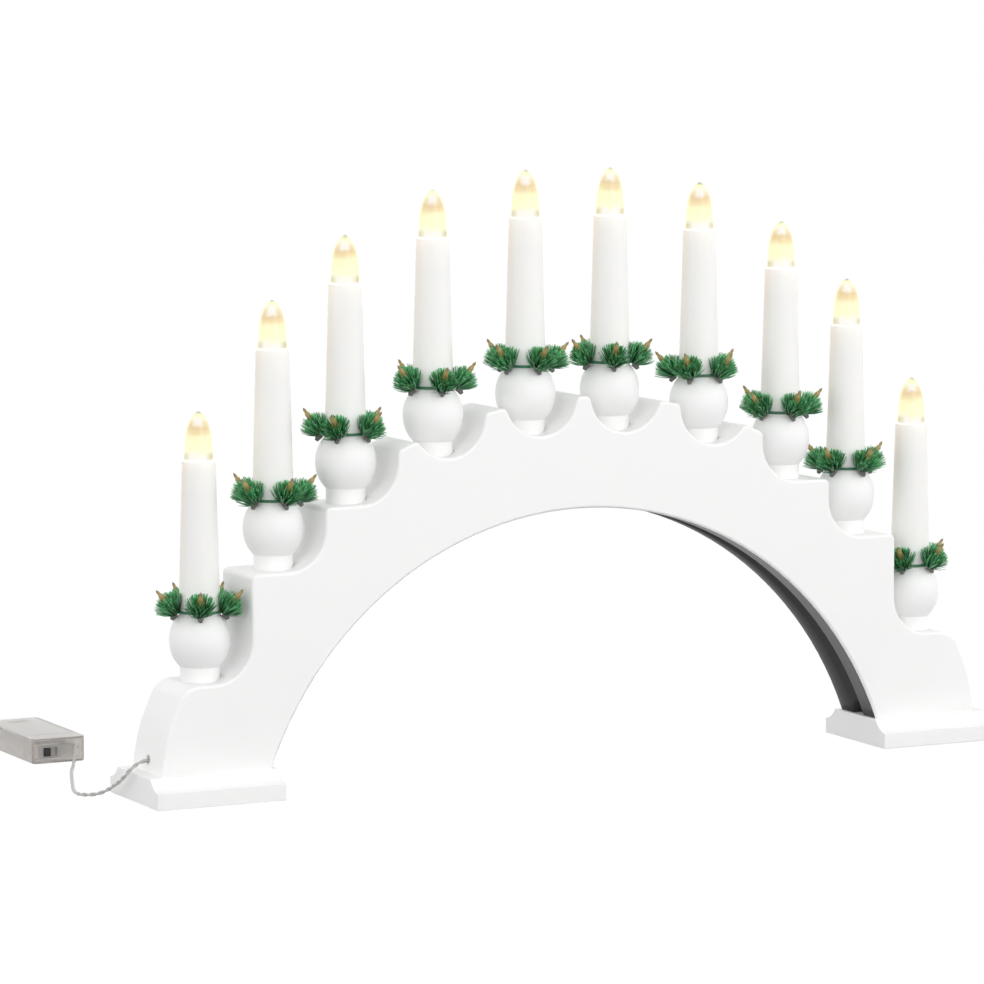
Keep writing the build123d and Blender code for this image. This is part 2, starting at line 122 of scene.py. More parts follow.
def buildFinishGroup(look):
    # Fine unevenness: two sizes of noise give a height, a roughness and a tint
    group, source, sink = newGroup(
        "fineFinish",
        [("Scale", "NodeSocketFloat", 300.0), ("Roughness", "NodeSocketFloat", 0.4),
         ("Variation", "NodeSocketFloat", 0.1), ("Tint", "NodeSocketColor", (0.8, 0.8, 0.8, 1)),
         ("Tint Depth", "NodeSocketFloat", 0.05)],
        [("Height", "NodeSocketFloat"), ("Roughness", "NodeSocketFloat"), ("Color", "NodeSocketColor")])
    nodes, links = group.nodes, group.links
    place = nodes.new("ShaderNodeTexCoord").outputs["Object"]
    fine = noiseNode(nodes, links, place, source.outputs["Scale"], look["fineDetail"])
    broad = noiseNode(nodes, links, place, look["broadScale"], look["broadDetail"])
    centred = mathNode(nodes, links, "SUBTRACT", broad.outputs["Fac"], look["middle"])
    spread = mathNode(nodes, links, "MULTIPLY_ADD", centred, source.outputs["Variation"], source.outputs["Roughness"])
    depth = mathNode(nodes, links, "MULTIPLY_ADD", centred, source.outputs["Tint Depth"], 1)
    links.new(fine.outputs["Fac"], sink.inputs["Height"])
    links.new(spread, sink.inputs["Roughness"])
    links.new(scaledColor(nodes, links, source.outputs["Tint"], depth), sink.inputs["Color"])
    return group


strokeNoise = {"detail": 5, "roughness": 0.6}


def buildBrushGroup(look):
    # Paint laid over wood: long faint strokes along X, with grain showing through
    group, source, sink = newGroup(
        "brushedPaint",
        [("Stroke Scale", "NodeSocketFloat", 60.0), ("Stretch", "NodeSocketFloat", 0.08)],
        [("Height", "NodeSocketFloat")])
    nodes, links = group.nodes, group.links
    squeeze = nodes.new("ShaderNodeCombineXYZ")
    squeeze.inputs["Y"].default_value = 1
    squeeze.inputs["Z"].default_value = 1
    links.new(source.outputs["Stretch"], squeeze.inputs["X"])
    along = nodes.new("ShaderNodeVectorMath")
    along.operation = "MULTIPLY"
    links.new(nodes.new("ShaderNodeTexCoord").outputs["Object"], along.inputs[0])
    links.new(squeeze.outputs[0], along.inputs[1])
    strokes = noiseNode(nodes, links, along.outputs[0], source.outputs["Stroke Scale"], look["detail"])
    strokes.inputs["Roughness"].default_value = look["roughness"]
    links.new(strokes.outputs["Fac"], sink.inputs["Height"])
    return group


finishGroup = buildFinishGroup(finishNoise)
brushGroup = buildBrushGroup(strokeNoise)


def newMaterial(name, **sockets):
    material = bpy.data.materials.new(name)
    material.use_nodes = True
    shader = material.node_tree.nodes["Principled BSDF"]
    for label, value in sockets.items():
        shader.inputs[label.replace("_", " ")].default_value = value
    return material, material.node_tree.nodes, material.node_tree.links, shader


def placeGroup(nodes, group, **values):
    node = nodes.new("ShaderNodeGroup")
    node.node_tree = group
    for label, value in values.items():
        node.inputs[label.replace("_", " ")].default_value = value
    return node


def addBump(nodes, links, shader, height, distance, strength=1.0):
    bump = nodes.new("ShaderNodeBump")
    bump.inputs["Strength"].default_value = strength
    bump.inputs["Distance"].default_value = distance
    links.new(height, bump.inputs["Height"])
    links.new(bump.outputs["Normal"], shader.inputs["Normal"])


def roughen(nodes, links, shader, **values):
    # The fine finish drives the roughness, and its other outputs are there for the material
    finish = placeGroup(nodes, finishGroup, **values)
    links.new(finish.outputs["Roughness"], shader.inputs["Roughness"])
    return finish


def plainFinish(name, color, roughness, variation=0.1, tintDepth=0.06, scale=400.0, bump=0.00004, **sockets):
    # A moulded or metal finish: the colour mottles a little, and the surface is finely uneven
    material, nodes, links, shader = newMaterial(name, **sockets)
    finish = roughen(nodes, links, shader, Scale=scale, Roughness=roughness, Variation=variation,
                     Tint=(*color, 1), Tint_Depth=tintDepth)
    links.new(finish.outputs["Color"], shader.inputs["Base Color"])
    addBump(nodes, links, shader, finish.outputs["Height"], bump)
    return material


def ramp(nodes, links, value, stops):
    # The colour for a value of 0 to 1, from (place, colour) stops
    node = nodes.new("ShaderNodeValToRGB")
    elements = node.color_ramp.elements
    while len(elements) < len(stops):
        elements.new(0.5)
    for element, (place, color) in zip(elements, stops):
        element.position = place
        element.color = (*color, 1)
    links.new(value, node.inputs["Fac"])
    return node.outputs["Color"]


def mask(nodes, links, value, stops):
    # A value of 0 to 1 that follows (place, value) stops
    return ramp(nodes, links, value, [(place, (v, v, v)) for place, v in stops])


def attributeValue(nodes, name):
    node = nodes.new("ShaderNodeAttribute")
    node.attribute_name = name
    return node.outputs["Fac"]


def tinted(nodes, links, amount, under, color):
    node = nodes.new("ShaderNodeMixRGB")
    node.inputs["Color2"].default_value = (*color, 1)
    links.new(amount, node.inputs["Fac"])
    links.new(under, node.inputs["Color1"])
    return node.outputs["Color"]


paintLook = {
    "shine": 0.4, "scale": 900, "roughness": 0.42, "variation": 0.12, "tintDepth": 0.02,
    "strokeScale": 420, "stretch": 0.1, "bump": 0.00003, "bumpStrength": 0.5}


def paintedWood(name, tint, look):
    material, nodes, links, shader = newMaterial(name, Specular_IOR_Level=look["shine"])
    finish = roughen(nodes, links, shader, Scale=look["scale"], Roughness=look["roughness"],
                     Variation=look["variation"], Tint=(*tint, 1), Tint_Depth=look["tintDepth"])
    strokes = placeGroup(nodes, brushGroup, Stroke_Scale=look["strokeScale"], Stretch=look["stretch"])
    links.new(finish.outputs["Color"], shader.inputs["Base Color"])
    addBump(nodes, links, shader, strokes.outputs["Height"], look["bump"], look["bumpStrength"])
    return material


tubeLook = {
    # The warm colour is painted light that falls on the tube's upper left edge
    "foot": (0.905, 0.89, 0.865), "top": (0.91, 0.89, 0.85), "topStart": 0.75, "paintedWarmLight": (0.93, 0.81, 0.68),
    "leftEdge": [(0.55, 0.0), (0.98, 0.65)], "upper": [(0.2, 0.35), (0.8, 1.0)], "dark": (0, 0, 0),
    "glow": (1.0, 0.86, 0.62), "glowTop": 0.05, "glowStart": 0.80, "rim": (0.50, 0.46, 0.43), "rimStart": 0.988,
    "inWall": 0.1, "inWallScale": 0.004, "inWallRadius": (1.0, 0.7, 0.5), "shine": 0.35,
    "scale": 500, "roughness": 0.38, "variation": 0.1, "bump": 0.00003, "bumpStrength": 0.5}


def candlePlastic(name, look):
    # Warm white, with the lamp's light painted into the wall near the rim as a glow, and painted warm light on its
    # upper left edge
    material, nodes, links, shader = newMaterial(
        name, Subsurface_Weight=look["inWall"], Subsurface_Scale=look["inWallScale"],
        Subsurface_Radius=look["inWallRadius"], Specular_IOR_Level=look["shine"], Emission_Strength=1.0)
    along = attributeValue(nodes, "along")
    color = ramp(nodes, links, along, [(0.0, look["foot"]), (look["topStart"], look["foot"]), (1.0, look["top"])])
    # Painted warm light on the upper left edge of the tube
    leftward = mathNode(nodes, links, "MULTIPLY", attributeValue(nodes, "side"), -1)
    leftEdge = mask(nodes, links, leftward, look["leftEdge"])
    paintedWarmLightMask = mathNode(nodes, links, "MULTIPLY", leftEdge, mask(nodes, links, along, look["upper"]))
    links.new(tinted(nodes, links, paintedWarmLightMask, color, look["paintedWarmLight"]), shader.inputs["Base Color"])
    lowGlow = tuple(look["glowTop"] * v for v in look["glow"])
    glow = ramp(nodes, links, along, [(0.0, look["dark"]), (look["glowStart"], look["dark"]),
                                      (look["rimStart"], lowGlow), (1.0, look["rim"])])
    links.new(glow, shader.inputs["Emission Color"])
    finish = roughen(nodes, links, shader, Scale=look["scale"], Roughness=look["roughness"],
                     Variation=look["variation"])
    addBump(nodes, links, shader, finish.outputs["Height"], look["bump"], look["bumpStrength"])
    return material


flameLook = {
    "bands": [
        (0.00, (1.00, 0.93, 0.87)), (0.10, (1.00, 0.95, 0.86)), (0.20, (1.00, 0.97, 0.68)),
        (0.36, (1.00, 0.98, 0.62)), (0.48, (1.00, 0.95, 0.60)), (0.57, (0.90, 0.74, 0.42)),
        (0.68, (0.80, 0.62, 0.35)), (0.78, (0.88, 0.75, 0.47)), (0.87, (1.00, 0.95, 0.72)),
        (0.95, (0.95, 0.96, 0.60)), (1.00, (0.46, 0.48, 0.40))],
    "wobble": 0.16, "wobbleScale": 170, "wobbleDetail": 2, "glow": 0.80, "body": 0.20,
    # The edge colour is painted yellow light at the lens's left and right edges, and the shine colour a painted
    # highlight on the front of the tan band
    "edge": (0.96, 0.92, 0.46), "edgeSides": [(0.72, 0.0), (1.0, 0.55)],
    "olive": (0.56, 0.52, 0.24), "legSides": [(0.50, 0.0), (0.92, 0.75)],
    "legHeights": [(0.0, 0.5), (0.04, 1.0), (0.10, 1.0), (0.19, 0.0)],
    "shine": (1.0, 0.94, 0.90), "paintedShineSides": [(0.80, 0.0), (0.97, 0.85)],
    "paintedShineHeights": [(0.66, 0.0), (0.75, 1.0), (0.84, 1.0), (0.90, 0.0)],
    "ior": 1.49, "coat": 0.25, "coatRoughness": 0.08, "scale": 700, "roughness": 0.16, "variation": 0.08}


def flamePlastic(name, look):
    # A lit lens: the lamp's bright base between its two dark legs, the tan band, a painted shine in it, painted
    # yellow light at its left and right edges, and the pale point
    material, nodes, links, shader = newMaterial(
        name, IOR=look["ior"], Coat_Weight=look["coat"], Coat_Roughness=look["coatRoughness"],
        Emission_Strength=look["glow"])
    along = attributeValue(nodes, "along")
    place = nodes.new("ShaderNodeTexCoord").outputs["Object"]
    wobble = noiseNode(nodes, links, place, look["wobbleScale"], look["wobbleDetail"])
    lowered = mathNode(nodes, links, "SUBTRACT", along, look["wobble"] / 2)
    uneven = mathNode(nodes, links, "MULTIPLY_ADD", wobble.outputs["Fac"], look["wobble"], lowered)
    sides = mathNode(nodes, links, "ABSOLUTE", attributeValue(nodes, "side"))
    color = ramp(nodes, links, uneven, look["bands"])
    # Painted yellow light along the lens's left and right edges
    color = tinted(nodes, links, mask(nodes, links, sides, look["edgeSides"]), color, look["edge"])
    legs = mathNode(nodes, links, "MULTIPLY", mask(nodes, links, sides, look["legSides"]),
                    mask(nodes, links, along, look["legHeights"]))
    color = tinted(nodes, links, legs, color, look["olive"])
    # A painted highlight on the front of the tan band
    shine = mathNode(nodes, links, "MULTIPLY",
                     mask(nodes, links, attributeValue(nodes, "front"), look["paintedShineSides"]),
                     mask(nodes, links, uneven, look["paintedShineHeights"]))
    color = tinted(nodes, links, shine, color, look["shine"])
    links.new(scaledColor(nodes, links, color, look["body"]), shader.inputs["Base Color"])
    links.new(color, shader.inputs["Emission Color"])
    roughen(nodes, links, shader, Scale=look["scale"], Roughness=look["roughness"], Variation=look["variation"])
    return material


needleLook = {
    # The dark root stop is painted shade and the light tip stop a painted highlight
    "stops": [(0.0, (0.006, 0.040, 0.012)), (0.35, (0.018, 0.120, 0.036)), (0.8, (0.038, 0.235, 0.072)),
              (1.0, (0.150, 0.470, 0.210))],
    "toneGain": 1.5, "toneBase": 0.35, "shine": 0.6, "scale": 1500, "roughness": 0.34, "variation": 0.2}


def needlePlastic(name, look):
    # Cut film: green along the needle, darker at the root as painted shade and lighter, greyer at its tip as a
    # painted highlight, and each needle its own tone
    material, nodes, links, shader = newMaterial(name, Specular_IOR_Level=look["shine"])
    color = ramp(nodes, links, attributeValue(nodes, "along"), look["stops"])
    tone = mathNode(nodes, links, "MULTIPLY_ADD", attributeValue(nodes, "tone"), look["toneGain"], look["toneBase"])
    links.new(scaledColor(nodes, links, color, tone), shader.inputs["Base Color"])
    roughen(nodes, links, shader, Scale=look["scale"], Roughness=look["roughness"], Variation=look["variation"])
    return material


budLook = {
    "stops": [(0.0, (0.07, 0.052, 0.016)), (0.3, (0.28, 0.205, 0.055)), (0.65, (0.55, 0.42, 0.15)),
              (1.0, (0.27, 0.195, 0.08))],
    "metal": 0.15, "shine": 0.6, "mottle": 0.5, "scale": 1200, "roughness": 0.36, "variation": 0.2, "bump": 0.0002}


def budFinish(name, look):
    # Golden-brown cone bud: dark at its foot, lighter gold on the faces and darker again at the tip
    material, nodes, links, shader = newMaterial(name, Metallic=look["metal"], Specular_IOR_Level=look["shine"])
    color = ramp(nodes, links, attributeValue(nodes, "along"), look["stops"])
    finish = roughen(nodes, links, shader, Scale=look["scale"], Roughness=look["roughness"],
                     Variation=look["variation"])
    mottle = nodes.new("ShaderNodeMixRGB")
    mottle.blend_type = "MULTIPLY"
    mottle.inputs["Fac"].default_value = look["mottle"]
    links.new(color, mottle.inputs["Color1"])
    links.new(finish.outputs["Height"], mottle.inputs["Color2"])
    links.new(mottle.outputs["Color"], shader.inputs["Base Color"])
    addBump(nodes, links, shader, finish.outputs["Height"], look["bump"])
    return material


diodeLook = {"tint": (1.0, 0.9, 0.62), "tintDepth": 0.1, "scale": 900, "roughness": 0.2, "glow": 1.5}


def litDiode(name, look):
    material, nodes, links, shader = newMaterial(name, Roughness=look["roughness"], Emission_Strength=look["glow"])
    finish = placeGroup(nodes, finishGroup, Scale=look["scale"], Tint=(*look["tint"], 1),
                        Tint_Depth=look["tintDepth"])
    for label in ("Base Color", "Emission Color"):
        links.new(finish.outputs["Color"], shader.inputs[label])
    return material


finishes = {
    "white_paint": paintedWood("whitePaint", (0.90, 0.90, 0.895), paintLook),
    "candle_plastic": candlePlastic("candlePlastic", tubeLook),
    "flame_plastic": flamePlastic("flamePlastic", flameLook),
    "needle_green": needlePlastic("needleFilm", needleLook),
    "zinc_steel": plainFinish("zincSteel", (0.62, 0.63, 0.64), roughness=0.32, Metallic=1.0),
    "socket_plastic": plainFinish("socketPlastic", (0.80, 0.78, 0.74), roughness=0.5),
    "diode_resin": litDiode("litDiode", diodeLook),
    "wire_insulation": plainFinish("wireInsulation", (0.60, 0.58, 0.54), roughness=0.28, Coat_Weight=0.4),
    "cord_insulation": plainFinish(
        "cordInsulation", (0.48, 0.475, 0.46), roughness=0.24, tintDepth=0.25, scale=260.0, Coat_Weight=0.6),
    "box_plastic": plainFinish(
        "boxPlastic", (0.88, 0.845, 0.81), roughness=0.10, variation=0.06, tintDepth=0.05, scale=500.0,
        bump=0.00002, Transmission_Weight=0.76, IOR=1.46),
    "black_plastic": plainFinish(
        "blackPlastic", (0.012, 0.012, 0.012), roughness=0.42, variation=0.15, tintDepth=0.2, scale=700.0),
    "cell_can": plainFinish(
        "cellWrap", (0.36, 0.345, 0.325), roughness=0.3, variation=0.12, tintDepth=0.1, scale=500.0,
        Coat_Weight=0.5),
    "contact_metal": plainFinish("contactMetal", (0.72, 0.72, 0.70), roughness=0.22, Metallic=1.0),
}
panelPlastic = plainFinish(
    "panelPlastic", (0.66, 0.635, 0.61), roughness=0.35, variation=0.06, tintDepth=0.05, scale=500.0,
    bump=0.00002, Transmission_Weight=0.4, IOR=1.46)
bodyGrey = plainFinish("bodyGrey", (0.66, 0.635, 0.61), roughness=0.45)
# Dark grey painted as the shade under the arch
paintedShadeGrey = paintedWood("paintedShadeGrey", (0.042, 0.042, 0.042), paintLook)
budGold = budFinish("budGold", budLook)
# Dark grey for the cones below the tufts
stubGrey = plainFinish(
    "stubGrey", (0.13, 0.13, 0.12), roughness=0.45, variation=0.2, tintDepth=0.3, scale=900.0)
wireGreen = plainFinish(
    "wireGreen", (0.026, 0.150, 0.070), roughness=0.35, variation=0.15, tintDepth=0.2, scale=800.0)
print("finishes ready:", len(finishes))


# Mesh helpers
def newPiece(name, mesh, body, slot, nodes=(), materials=None):
    for material in materials or [finishes[slot]]:
        mesh.materials.append(material)
    piece = bpy.data.objects.new(name, mesh)
    bpy.context.scene.collection.objects.link(piece)
    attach(piece, body)
    if nodes:
        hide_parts(*nodes)
    return piece


def rawMesh(bm, name):
    mesh = bpy.data.meshes.new(name)
    bm.to_mesh(mesh)
    bm.free()
    return mesh


def meshFrom(bm, name, sharpAngle):
    mesh = rawMesh(bm, name)
    mesh.shade_smooth()
    mesh.set_sharp_from_angle(angle=math.radians(sharpAngle))
    return mesh


def evaluatedMesh(item):
    bpy.context.view_layer.update()
    return bpy.data.meshes.new_from_object(item.evaluated_get(bpy.context.evaluated_depsgraph_get()))


photoHeading = math.radians(cameraLook["azimuth"] - 90)
weld = {"turned": 0.002, "solid": 0.001, "cord": 0.0005}


def lathe(profile, steps):
    # profile holds (radius, height, share along) points in millimetres, from the foot up the outside.
    # front is 1 on the side that the photo shows and -1 at the back, side is -1 on its left and 1 on its right
    bm = bmesh.new()
    along = bm.verts.layers.float.new("along")
    front = bm.verts.layers.float.new("front")
    side = bm.verts.layers.float.new("side")
    verts = []
    for radius, height, share in profile:
        vert = bm.verts.new((radius * mm, 0, height * mm))
        vert[along] = share
        verts.append(vert)
    edges = [bm.edges.new(pair) for pair in zip(verts, verts[1:])]
    bmesh.ops.spin(bm, geom=verts + edges, cent=(0, 0, 0), axis=(0, 0, 1), angle=2 * math.pi, steps=steps,
                   use_merge=True)
    bmesh.ops.remove_doubles(bm, verts=bm.verts, dist=weld["turned"] * mm)
    bmesh.ops.recalc_face_normals(bm, faces=bm.faces)
    for vert in bm.verts:
        around = math.atan2(vert.co.y, vert.co.x) - photoHeading
        vert[front] = math.cos(around)
        vert[side] = math.sin(around)
    return bm


def arc(centreR, centreZ, radius, start, end, count):
    angles = [math.radians(start + (end - start) * k / count) for k in range(count + 1)]
    return [(centreR + radius * math.cos(a), centreZ + radius * math.sin(a)) for a in angles]


def shares(points):
    # Gives each profile point its place from the lowest to the highest
    lowest = min(z for r, z in points)
    highest = max(z for r, z in points)
    return [(r, z, (z - lowest) / (highest - lowest)) for r, z in points]


def candleCentres():
    places = {}
    for joint in frame["joints"]:
        if joint["name"].startswith("ring_turn_"):
            x, y, z = joint["pos_m"]
            places[joint["name"][-2:]] = Vector((x, y, z - sprig["ringHeight"] * mm))
    return places


# Sprig rings: wire, needle tufts, cone buds and stubs
sprig = {
    "ringHeight": 14.2, "ringRadius": 11.25, "wireRadius": 0.72, "wireSides": 8, "wireSteps": 64,
    "tufts": 5, "variants": 5, "tuftLift": 52.0, "liftSpread": 4.0, "tuftDrop": 1.3, "tuftSeed": 11, "ringSeed": 100,
    "needles": 240, "needleLength": 10.0, "needleWidth": 0.62, "needleThick": 0.3, "needleTaper": 0.5, "curl": 0.5,
    "needleSides": 4, "needleCorner": 0.7, "needleCuts": 2, "goldenAngle": 137.5, "shortest": 0.86,
    "aroundSpread": 0.2, "twistSpread": 0.3, "polarSpread": 5.0, "narrowest": 26.0, "widest": 80.0,
    "footLow": 0.3, "footHigh": 2.8, "leastBend": 0.3,
    "budRadius": 2.4, "budLength": 10.2, "budFoot": 6.6, "budRows": 4, "budSides": 10, "budPower": 0.8,
    "budBase": 0.75, "budNotch": 0.90, "budStep": 0.10, "budTip": 0.12, "budTipPlace": 0.95,
    "stubLength": 3.4, "stubRadius": 2.1, "stubTip": 0.9, "stubLean": 30.0, "stubRise": 0.4, "stubSides": 10,
    "turns": (5, 30, -16, 20, 30, 8, -22, 26, 38, -21), "viewAzimuth": -26.6, "sharp": 35,
    "wallGap": 19.3, "swings": {"01": (0, 11), "10": (-10, 1)}, "swingSteps": 6,
    "tubeRadius": 10.35, "tubeSlope": 0.0237, "tubeGap": 0.25}
sprigFinishes = {"needle": 0, "bud": 1, "stub": 2, "wire": 3}


def sprigMesh():
    # Each point knows its share along its needle or bud and its needle's tone
    bm = bmesh.new()
    bm.verts.layers.float.new("along")
    bm.verts.layers.float.new("tone")
    return bm


def asTemplate(bm, name, finish):
    mesh = rawMesh(bm, name)
    mesh.polygons.foreach_set("material_index", [finish] * len(mesh.polygons))
    return mesh


def placeCopy(bm, mesh, matrix, tone=None):
    placed = mesh.copy()
    placed.transform(matrix)
    if tone is not None:
        values = placed.attributes["tone"].data
        values.foreach_set("value", [tone] * len(values))
    bm.from_mesh(placed)
    bpy.data.meshes.remove(placed)


def needleTemplate(look):
    # One flat tapered strip along Z, made at unit size and bent towards -X, which faces the stem
    bm = sprigMesh()
    along = bm.verts.layers.float["along"]
    unit, half = 1.0, 0.5
    corner = look["needleCorner"]
    bmesh.ops.create_cone(
        bm, cap_ends=True, segments=look["needleSides"], radius1=corner, radius2=corner * look["needleTaper"],
        depth=unit, matrix=Matrix.Translation((0, 0, half)) @ Matrix.Rotation(math.pi / 4, 4, "Z"))
    upright = [e for e in bm.edges if abs(e.verts[0].co.z - e.verts[1].co.z) > half]
    bmesh.ops.subdivide_edges(bm, edges=upright, cuts=look["needleCuts"], use_grid_fill=True)
    for vert in bm.verts:
        share = vert.co.z
        vert[along] = share
        vert.co.x = vert.co.x * look["needleThick"] - look["curl"] * look["needleLength"] * share * share
        vert.co.y = vert.co.y * look["needleWidth"]
        vert.co.z = share * look["needleLength"]
    return asTemplate(bm, "needleTemplate", sprigFinishes["needle"])


def budTemplate(look):
    # A pointed cone with shallow steps between its scales
    radius, length, rows = look["budRadius"], look["budLength"], look["budRows"]
    points = [(0, 0)]
    for row in range(rows):
        low = row / rows
        wide = radius * (1 - low) ** look["budPower"]
        points.append((wide * (look["budNotch"] if row else look["budBase"]), length * low))
        points.append((wide, length * (low + look["budStep"])))
    points += [(radius * look["budTip"], length * look["budTipPlace"]), (0, length)]
    mesh = asTemplate(lathe(shares(points), look["budSides"]), "budTemplate", sprigFinishes["bud"])
    mesh.transform(Matrix.Scale(1 / mm, 4))
    return mesh


# A short dark grey cone below each tuft
def stubTemplate(look):
    bm = bmesh.new()
    bmesh.ops.create_cone(
        bm, cap_ends=True, segments=look["stubSides"], radius1=look["stubRadius"], radius2=look["stubTip"],
        depth=look["stubLength"], matrix=Matrix.Translation((0, 0, look["stubLength"] / 2)))
    return asTemplate(bm, "stubTemplate", sprigFinishes["stub"])


def wireTemplate(look):
    bm = bmesh.new()
    section = Matrix.Translation((look["ringRadius"], 0, 0)) @ Matrix.Rotation(math.pi / 2, 4, "X")
    circle = bmesh.ops.create_circle(
        bm, segments=look["wireSides"], radius=look["wireRadius"], matrix=section)["verts"]
    edges = list({e for v in circle for e in v.link_edges})
    bmesh.ops.spin(bm, geom=circle + edges, cent=(0, 0, 0), axis=(0, 0, 1), angle=2 * math.pi,
                   steps=look["wireSteps"], use_merge=True)
    return asTemplate(bm, "wireTemplate", sprigFinishes["wire"])


def tuftTemplate(look, needle, bud, chooser, name):
    # Needles and bud round a stem along +Z that starts at the origin
    bm = sprigMesh()
    golden = math.radians(look["goldenAngle"])
    count = look["needles"]
    wideEnd, narrowEnd = math.cos(math.radians(look["widest"])), math.cos(math.radians(look["narrowest"]))
    for k in range(count):
        share = k / (count - 1)
        polar = math.acos(wideEnd + (narrowEnd - wideEnd) * share)
        polar += math.radians(chooser.uniform(-1, 1) * look["polarSpread"])
        around = k * golden + chooser.uniform(-look["aroundSpread"], look["aroundSpread"])
        foot = look["footLow"] + (look["footHigh"] - look["footLow"]) * share
        length = chooser.uniform(look["shortest"], 1.0)
        twist = chooser.uniform(-look["twistSpread"], look["twistSpread"])
        bend = max(look["leastBend"], math.degrees(polar) / look["widest"])
        matrix = Matrix.Translation((0, 0, foot)) @ Matrix.Rotation(around, 4, "Z") @ Matrix.Rotation(polar, 4, "Y")
        matrix = matrix @ Matrix.Rotation(twist, 4, "Z") @ Matrix.Diagonal((bend, 1, length, 1))
        placeCopy(bm, needle, matrix, chooser.random())
    placeCopy(bm, bud, Matrix.Translation((0, 0, look["budFoot"])))
    return rawMesh(bm, name)


def sprigTemplates(look):
    chooser = random.Random(look["tuftSeed"])
    needle, bud = needleTemplate(look), budTemplate(look)
    tufts = [tuftTemplate(look, needle, bud, chooser, f"tuftTemplate{k}") for k in range(look["variants"])]
    return {"tufts": tufts, "stub": stubTemplate(look), "wire": wireTemplate(look)}


def sprigRing(number, turn, centre, look, templates):
    chooser = random.Random(look["ringSeed"] + int(number))
    bm = sprigMesh()
    placeCopy(bm, templates["wire"], Matrix.Identity(4))
    stubRadius = look["ringRadius"] + look["stubRadius"] - look["wireRadius"]
    for k in range(look["tufts"]):
        facing = Matrix.Rotation(2 * math.pi * k / look["tufts"], 4, "Z")
        lift = math.radians(90 - look["tuftLift"] + chooser.uniform(-1, 1) * look["liftSpread"])
        seat = facing @ Matrix.Translation((look["ringRadius"], 0, -look["tuftDrop"]))
        outward = seat @ Matrix.Rotation(lift, 4, "Y")
        roll = Matrix.Rotation(chooser.uniform(0, 2 * math.pi), 4, "Z")
        placeCopy(bm, chooser.choice(templates["tufts"]), outward @ roll)
        lean = Matrix.Rotation(math.pi - math.radians(look["stubLean"]), 4, "Y")
        stubSeat = facing @ Matrix.Translation((stubRadius, 0, look["stubRise"] - look["tuftDrop"]))
        placeCopy(bm, templates["stub"], stubSeat @ lean)
    clearTube(bm, look)
    bmesh.ops.recalc_face_normals(bm, faces=bm.faces)
    heading = math.radians(look["viewAzimuth"] - 90 + turn)
    ringCentre = centre + Vector((0, 0, look["ringHeight"] * mm))
    place = Matrix.Translation(ringCentre) @ Matrix.Rotation(heading, 4, "Z") @ Matrix.Scale(mm, 4)
    bmesh.ops.transform(bm, matrix=place, verts=bm.verts)
    if number in look["swings"]:
        clearWall(bm, centre, math.copysign(1, -centre.x), look["swings"][number], look)
    mesh = meshFrom(bm, f"sprigRing{number}", look["sharp"])
    newPiece(f"sprigRing{number}", mesh, f"sprig_ring_{number}", "needle_green", [f"sprig_ring_{number}"],
             [finishes["needle_green"], budGold, stubGrey, wireGreen])


def clearTube(bm, look):
    # Needles that lean on the candle lie along its side
    for vert in bm.verts:
        limit = look["tubeRadius"] - look["tubeSlope"] * vert.co.z + look["tubeGap"]
        reach = math.hypot(vert.co.x, vert.co.y)
        if reach < limit:
            vert.co.x *= limit / reach
            vert.co.y *= limit / reach


def clearWall(bm, centre, side, swing, look):
    # An end ring's needles are shorter where the step of the arch stands in their way at any point of its turn
    limit = look["wallGap"] * mm
    steps = look["swingSteps"]
    turns = [math.radians(swing[0] + (swing[1] - swing[0]) * k / steps) for k in range(steps + 1)]
    for vert in bm.verts:
        out = vert.co - centre
        reach = max(side * (out.x * math.cos(turn) - out.y * math.sin(turn)) for turn in turns)
        if reach > limit:
            vert.co.x = centre.x + out.x * limit / reach
            vert.co.y = centre.y + out.y * limit / reach


centres = candleCentres()
templates = sprigTemplates(sprig)
for number, turn in zip(candleNumbers, sprig["turns"]):
    sprigRing(number, turn, centres[number], sprig, templates)
print("sprig rings ready")


# Turned pieces, one to each candle
def turnedPieces(name, node, slot, profile, look):
    for number in candleNumbers:
        mesh = meshFrom(lathe(profile, look["sides"]), f"{name}{number}", look["sharp"])
        mesh.transform(Matrix.Translation(centres[number]))
        newPiece(f"{name}{number}", mesh, "arch", slot, [f"{node}_{number}"])


# Candle holders: a tall ball, neck and pedestal turned in one piece
holder = {
    "ball": 15.0, "ballHeight": 34.0, "flat": 10.6, "pedestal": 9.8, "seat": 19.98, "sink": 2.5, "socket": 7.65,
    "socketDepth": 5.15, "ease": 0.4, "neckEase": [(0.0, 2.0), (0.3, 0.6)], "bore": 2.0, "ballRows": 30,
    "sides": 72, "sharp": 35}


def makeHolders(look):
    wide, tall = look["ball"], look["ballHeight"] / 2
    pedestal, flat, ease = look["pedestal"], look["flat"], look["ease"]
    low = math.acos((pedestal + ease) / wide)
    high = math.acos(flat / wide)
    topZ, neckZ = tall * math.sin(high), -tall * math.sin(low)
    foot = -(look["seat"] + look["sink"])
    points = [(look["bore"], foot), (pedestal, foot)]
    points += [(pedestal + ease * out, neckZ - ease * down) for out, down in look["neckEase"]]
    for k in range(look["ballRows"] + 1):
        angle = -low + (high + low) * k / look["ballRows"]
        points.append((wide * math.cos(angle), tall * math.sin(angle)))
    socketZ = topZ - look["socketDepth"]
    points += [(look["socket"], topZ), (look["socket"], socketZ), (look["bore"], socketZ), points[0]]
    turnedPieces("candleHolder", "candle_holder", "white_paint", shares(points), look)


makeHolders(holder)
print("holders ready")


# Candle tubes
tube = {
    "foot": 10.25, "top": 8.15, "wall": 1.05, "footZ": 12.028, "rimZ": 87.9, "rimEase": 0.55, "rimRows": 4,
    "spigot": 7.5, "spigotLength": 5.0, "floor": 1.5, "rows": 12, "sides": 64, "sharp": 35}


